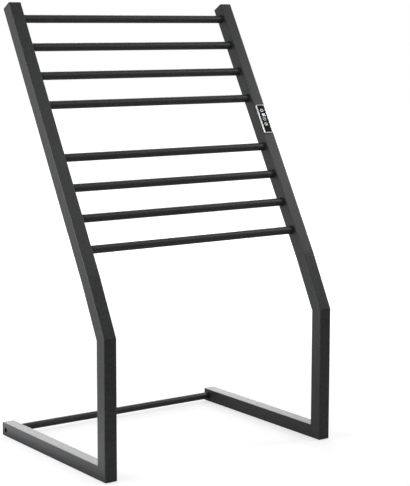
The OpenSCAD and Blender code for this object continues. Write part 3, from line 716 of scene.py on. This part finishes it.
pads_low, pads_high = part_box("foot_pads")
pad_r = 8 * mm
pad_t = pads_high.z - pads_low.z
pad_edge = 0.4 * mm
t = np.linspace(0, np.pi / 2, 5)
pad_rows = list(zip(pad_r - pad_edge + pad_edge * np.sin(t), pad_edge * (1 - np.cos(t))))
disc = np.stack([np.c_[ring(r), np.full(len(ring(r)), z)] for r, z in pad_rows + [(pad_r, pad_t)]])
pads = [
    disc + [x, y, pads_low.z]
    for x in (pads_low.x + pad_r, pads_high.x - pad_r) for y in (pads_low.y + pad_r, pads_high.y - pad_r)
]
make_piece("foot_pad_discs", pads, rubber, ["foot_pads"], loop=False)


# ---- Touch panel ----
# A chromed zinc bezel, 21 by 62 mm, stands 2.5 mm proud of the right-hand post's face and holds a sheet
# of black glass. Inside it has a thin bead, then a groove, then the broad rounded rim.

glass_low, glass_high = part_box("touch_glass")
glass_middle = (glass_low + glass_high) / 2
panel_z = (glass_middle.y - joint[0]) * np.sin(lean_angle) + (glass_middle.z - joint[1]) * np.cos(lean_angle)
opening = np.array([16.6, 57.6]) * mm
opening_r = 0.8 * mm


def on_panel(points):
    """Panel coordinates, x across, y up the post and z out of its face, put on the right-hand post."""
    across, up, out = np.moveaxis(np.asarray(points, float), -1, 0)
    return leaning(np.stack([across, -out, panel_z + up], axis=-1), post_x, joint, lean_angle)


def rounded_rows(size, radius, rows):
    """Rounded rectangles, one for each (offset outside the size, height)."""
    rings = []
    for offset, height in rows:
        outline = rounded_outline(*(size + 2 * offset), radius + offset)[0]
        rings.append(np.c_[outline, np.full(len(outline), height)])
    return np.stack(rings)


# Satin chrome: pale, with the faint ripple of the casting under it and a few hazy patches
haze = (4 * mm, 3)
chrome = clouded("satin decorative chrome", "#f2f2f1", "#fbfbfa", haze, (0.28, 0.38), grain=haze,
                 relief=((3 * mm, 2), 0.15, 0.05 * mm), Metallic=1.0)[0]

bead_t = np.linspace(np.pi, 0, 9)
bezel_rows = [(0, 0), (0, 1.6 * mm)]
bezel_rows += list(zip(0.36 * mm + 0.36 * mm * np.cos(bead_t), 1.95 * mm + 0.36 * mm * np.sin(bead_t)))
bezel_rows += [(0.74 * mm, 1.6 * mm), (0.9 * mm, 1.6 * mm)]
rim_t = np.linspace(0, np.pi / 2, 12)
bezel_rows += [(0.95 * mm, 2.1 * mm), (1.05 * mm, 2.38 * mm), (1.2 * mm, 2.48 * mm)]
bezel_rows += list(zip(1.3 * mm + 0.9 * mm * np.sin(rim_t), 1.1 * mm + 1.4 * mm * np.cos(rim_t)))
bezel_rows += [(2.2 * mm, 0)]
make_piece("panel_trim", [on_panel(rounded_rows(opening, opening_r, bezel_rows))], chrome,
           ["panel_bezel"], sharp=40)

# Black-backed float glass with a bevel on its edge. Behind the figures the display's light leaks into
# it as a faint violet patch
smear = (8 * mm, 4)
black_glass, tree, shader, place = clouded(
    "black-printed float glass", "#0c0e10", "#111315", smear, (0.06, 0.12), grain=smear, IOR=1.52,
    Emission_Color=linear("#4a3fc4"))
display_at = np.array([1.2, 8.3]) * mm
patch_at = add(tree, "ShaderNodeMapping", {
    "Vector": place, "Location": on_panel([[*display_at, 0]])[0], "Rotation": (-lean_angle, 0, 0),
    "Scale": (9 * mm, 9 * mm, 7 * mm),
}, vector_type="TEXTURE")
away = add(tree, "ShaderNodeVectorMath", {0: patch_at.outputs["Vector"]}, operation="LENGTH")
leak = add(tree, "ShaderNodeMapRange", {
    "Value": away.outputs["Value"], "From Min": 0.35, "From Max": 1.1, "To Min": 0.035, "To Max": 0.0,
}, interpolation_type="SMOOTHSTEP")
tree.links.new(leak.outputs["Result"], shader.inputs["Emission Strength"])
glass_top = 2.0 * mm
glass_rows = [(-0.1 * mm, 0.5 * mm), (-0.1 * mm, glass_top - 0.15 * mm), (-0.25 * mm, glass_top)]
make_piece("touch_glass_sheet", [on_panel(rounded_rows(opening, opening_r, glass_rows))], black_glass,
           ["touch_glass"], loop=False)


# ---- Printed keys and lit figures ----
# Three touch keys are screen printed in white ceramic ink: power, timer and heat, each in a ring.
# Two seven-bar figures of white light-emitting diodes shine through the glass between the first two.

def stripe(path, width, pointed=False, thickness=0.03 * mm):
    """A flat stripe along a path of (x, y), as rows of its four edges. At a distance s from an end its
    half width is sqrt (r^2 - (r - s)^2), which is a round end, or min (r, s), a pointed one."""
    path = np.asarray(path, float) * mm
    step = np.r_[0, np.cumsum(np.hypot(*np.diff(path, axis=0).T))]
    r = width * mm / 2
    tip = r * np.array([0.02, 0.15, 0.4, 0.7, 1.0])
    inner = step[(step > 1.2 * r) & (step < step[-1] - 1.2 * r)]
    s = np.concatenate([tip, inner, step[-1] - tip[::-1]])
    middle = np.stack([np.interp(s, step, path[:, k]) for k in (0, 1)], axis=-1)
    end = np.minimum(np.minimum(s, step[-1] - s), r)
    half = end if pointed else np.sqrt(r ** 2 - (r - end) ** 2)
    run = np.gradient(middle, s, axis=0)
    across = np.stack([-run[:, 1], run[:, 0]], axis=-1)
    across *= (half / np.hypot(*across.T))[:, None]
    low, high = np.full(len(s), glass_top), np.full(len(s), glass_top + thickness)
    return np.stack([
        np.c_[middle - across, low], np.c_[middle + across, low],
        np.c_[middle + across, high], np.c_[middle - across, high],
    ], axis=1)


def arc(centre, radius, start, end):
    """Points round part of a circle, from one angle in degrees to another."""
    t = np.radians(np.linspace(start, end, max(8, int(abs(end - start) / 5))))
    return np.c_[centre[0] + radius * np.cos(t), centre[1] + radius * np.sin(t)]


# In millimetres from here on, measured from the middle of the panel
ring_r = 3.25
line = 0.46
power_y, timer_y, heat_y = 17.9, -0.5, -11.4
symbols = [
    (arc((0, power_y), ring_r, 96, 264), line), (arc((0, power_y), ring_r, -84, 84), line),
    (arc((0, power_y), 0.64 * ring_r, -230, 50), line),
    ([(0, power_y + 0.1 * ring_r), (0, power_y + 0.74 * ring_r)], line),
    (arc((0, timer_y), ring_r, 0, 359.5), line),
    ([(0, timer_y + 0.7 * ring_r), (0, timer_y), (0.48 * ring_r, timer_y - 0.34 * ring_r)], line),
    (arc((0, heat_y), ring_r, 99, 261), line), (arc((0, heat_y), ring_r, -81, 81), line),
]
stem, bulb, bulb_y = 0.15 * ring_r, 0.24 * ring_r, heat_y - 0.48 * ring_r
meet = np.degrees(np.arccos(stem / bulb))
stem_foot, stem_top = bulb_y + bulb * np.sin(np.radians(meet)), heat_y + 0.52 * ring_r
thermometer = np.concatenate([
    arc((0, bulb_y), bulb, 180 - meet, 360 + meet), [(stem, stem_foot)], arc((0, stem_top), stem, 0, 180),
    [(-stem, stem_foot)],
])
symbols += [(thermometer, 0.8 * line), (arc((0, bulb_y), 0.1 * ring_r, 0, 350), line)]
symbols += [
    ([(1.9 * stem, heat_y + k * ring_r), (3 * stem, heat_y + k * ring_r)], 0.5 * line)
    for k in (0.42, 0.24, 0.06, -0.12)
]

# Translucent ceramic ink fired on the glass, lit from behind: a hard white film with tiny pinholes
pinholes = (0.4 * mm, 2)
ink = clouded("fired white ceramic ink", "#d6d8d8", "#e8eae9", pinholes, (0.35, 0.5), grain=pinholes,
              Emission_Color=linear("#eceeee"), Emission_Strength=0.95)[0]
make_piece("printed_keys", [on_panel(stripe(path, width)) for path, width in symbols], ink,
           ["key_symbols"], loop=False)

# A figure's bars: the middle of each as shares of the half width and half height, and whether it stands
# upright. The seventh, at the lower left, is dark in both figures
figure_w, figure_h, figure_line, figure_step, half_gap = 3.3, 5.8, 0.88, 4.2, 0.06
half_w, half_h = (figure_w - figure_line) / 2, (figure_h - figure_line) / 2
bars_of = {
    "top": (0, 1, False), "upper_right": (1, 0.5, True), "lower_right": (1, -0.5, True),
    "bottom": (0, -1, False), "upper_left": (-1, 0.5, True), "middle": (0, 0, False),
}
nine = ["top", "upper_right", "lower_right", "bottom", "upper_left", "middle"]
five = ["top", "lower_right", "bottom", "upper_left", "middle"]
lit = []
for shift, figure in ((-figure_step / 2, nine), (figure_step / 2, five)):
    for name in figure:
        across, up, upright = bars_of[name]
        middle = display_at / mm + [shift + across * half_w, up * half_h]
        reach = np.array([0, half_h / 2 - half_gap] if upright else [half_w - half_gap, 0])
        lit.append(on_panel(stripe([middle - reach, middle + reach], figure_line, pointed=True)))

# Light-emitting diodes behind a diffusing film: bluish white, a little uneven from place to place
diode_light, tree, place = new_material("lit white diode segments")
film = add(tree, "ShaderNodeTexNoise", {"Vector": place, "Scale": 1 / (1.5 * mm), "Detail": 2.0})
glow = add(tree, "ShaderNodeMapRange", {
    "Value": film.outputs["Fac"], "From Min": 0.3, "From Max": 0.7, "To Min": 1.3, "To Max": 1.9,
})
shader = add(tree, "ShaderNodeBsdfPrincipled", {
    "Base Color": linear("#e6e8fa"), "Roughness": 0.4, "Emission Color": linear("#e6e9ff"),
    "Emission Strength": glow.outputs["Result"],
})
add(tree, "ShaderNodeOutputMaterial", {"Surface": shader.outputs["BSDF"]})
make_piece("lit_figure_bars", lit, diode_light, ["display_figures"], loop=False)


# ---- Behind the glass ----
# A black tray clips into the window in the post. It holds the front board with the touch pads and the
# display module, and the rear board that switches the mains through a relay.

finish_node(moulded_black, "panel_housing")

# Glass-epoxy board under green solder resist, with the weave just showing
board, tree, place = new_material("green solder resist on glass epoxy")
weave = add(tree, "ShaderNodeTexChecker", {
    "Vector": place, "Scale": 1 / (0.8 * mm), "Color1": linear("#1c5232"), "Color2": linear("#226039"),
})
resist = add(tree, "ShaderNodeTexNoise", {"Vector": place, "Scale": 1 / (3 * mm), "Detail": 2.0})
dullness = add(tree, "ShaderNodeMapRange", {
    "Value": resist.outputs["Fac"], "From Min": 0.3, "From Max": 0.7, "To Min": 0.3, "To Max": 0.42,
})
shader = add(tree, "ShaderNodeBsdfPrincipled", {
    "Base Color": weave.outputs["Color"], "Roughness": dullness.outputs["Result"],
})
add(tree, "ShaderNodeOutputMaterial", {"Surface": shader.outputs["BSDF"]})
finish_node(board, "control_board", "power_board")

# Conductive polyurethane foam, open cells about 0.5 mm across, drawn darker in their middles as painted
# shade in the pores
foam, tree, place = new_material("conductive grey foam")
cells = add(tree, "ShaderNodeTexVoronoi", {"Vector": place, "Scale": 1 / (0.5 * mm)}).outputs["Distance"]
from_middle = add(tree, "ShaderNodeMapRange", {"Value": cells, "From Min": 0.0, "From Max": 0.6})
grey = add(tree, "ShaderNodeMix", {
    "Factor": from_middle.outputs["Result"], "A": linear("#2f2f32"), "B": linear("#47474b"),
}, data_type="RGBA")
bumps = add(tree, "ShaderNodeBump", {"Height": cells, "Strength": 0.8, "Distance": 0.2 * mm})
shader = add(tree, "ShaderNodeBsdfPrincipled", {
    "Base Color": grey.outputs["Result"], "Roughness": 0.95, "Normal": bumps.outputs["Normal"],
})
add(tree, "ShaderNodeOutputMaterial", {"Surface": shader.outputs["BSDF"]})
finish_node(foam, "touch_pads")

# White polycarbonate light box of the display
light_box = clouded("white polycarbonate", "#dededa", "#ecece8", (2 * mm, 2), (0.35, 0.5),
                    grain=(1 * mm, 2))[0]
finish_node(light_box, "display_module")

# Glass-filled PBT relay case, blue, with the mould's fine matt texture
relay_case = clouded("blue glass-filled polyester", "#1f4f98", "#2860b3", (2 * mm, 2), (0.4, 0.55),
                     grain=(0.6 * mm, 2))[0]
finish_node(relay_case, "relay")

# Nylon 66 terminal block, grey green
nylon = clouded("grey green nylon", "#56664f", "#66765f", (2 * mm, 2), (0.42, 0.58), grain=(0.6 * mm, 2))[0]
finish_node(nylon, "terminal_block")


# ---- Heating circuit ----
# A silicone-sheathed heating cable runs out along one bar and back along the next in each group. Both
# return down the post to a thermal cutoff; a probe and an earth lead are fixed beside the tray.

# Red-brown silicone rubber, satin, with the extruder's faint lines
silicone = clouded("extruded red silicone", "#96342a", "#ab4134", (6 * mm, 2), (0.45, 0.6),
                   grain=(1 * mm, 2))[0]
finish_node(silicone, "upper_heating_cable", "lower_heating_cable")

# Steatite ceramic, cream, unglazed and slightly speckled
steatite = clouded("unglazed steatite ceramic", "#cdc6b2", "#ddd8c8", (0.7 * mm, 4), 0.7)[0]
finish_node(steatite, "thermal_cutoff")

# Glass bead over a thermistor, amber
bead_glass = clouded("amber glass bead", "#b97c2f", "#d0923f", (1 * mm, 2), 0.15, IOR=1.5)[0]
finish_node(bead_glass, "temperature_probe")

# Turned brass, a little dulled
brass = clouded("turned brass", "#b3923e", "#cbab56", (1.5 * mm, 2), (0.25, 0.4), grain=(0.5 * mm, 2),
                Metallic=1.0)[0]
finish_node(brass, "earth_stud")

# Earth insulation: PVC in green and yellow stripes along the wire
stripes, tree, place = new_material("green and yellow PVC")
band = add(tree, "ShaderNodeTexWave", {"Vector": place, "Scale": 1 / (12 * mm)}, bands_direction="X")
yellowness = add(tree, "ShaderNodeMapRange", {
    "Value": band.outputs["Fac"], "From Min": 0.45, "From Max": 0.55,
})
striped = add(tree, "ShaderNodeMix", {
    "Factor": yellowness.outputs["Result"], "A": linear("#3f8f2f"), "B": linear("#d8c62c"),
}, data_type="RGBA")
shader = add(tree, "ShaderNodeBsdfPrincipled", {"Base Color": striped.outputs["Result"], "Roughness": 0.45})
add(tree, "ShaderNodeOutputMaterial", {"Surface": shader.outputs["BSDF"]})
finish_node(stripes, "earth_lead")
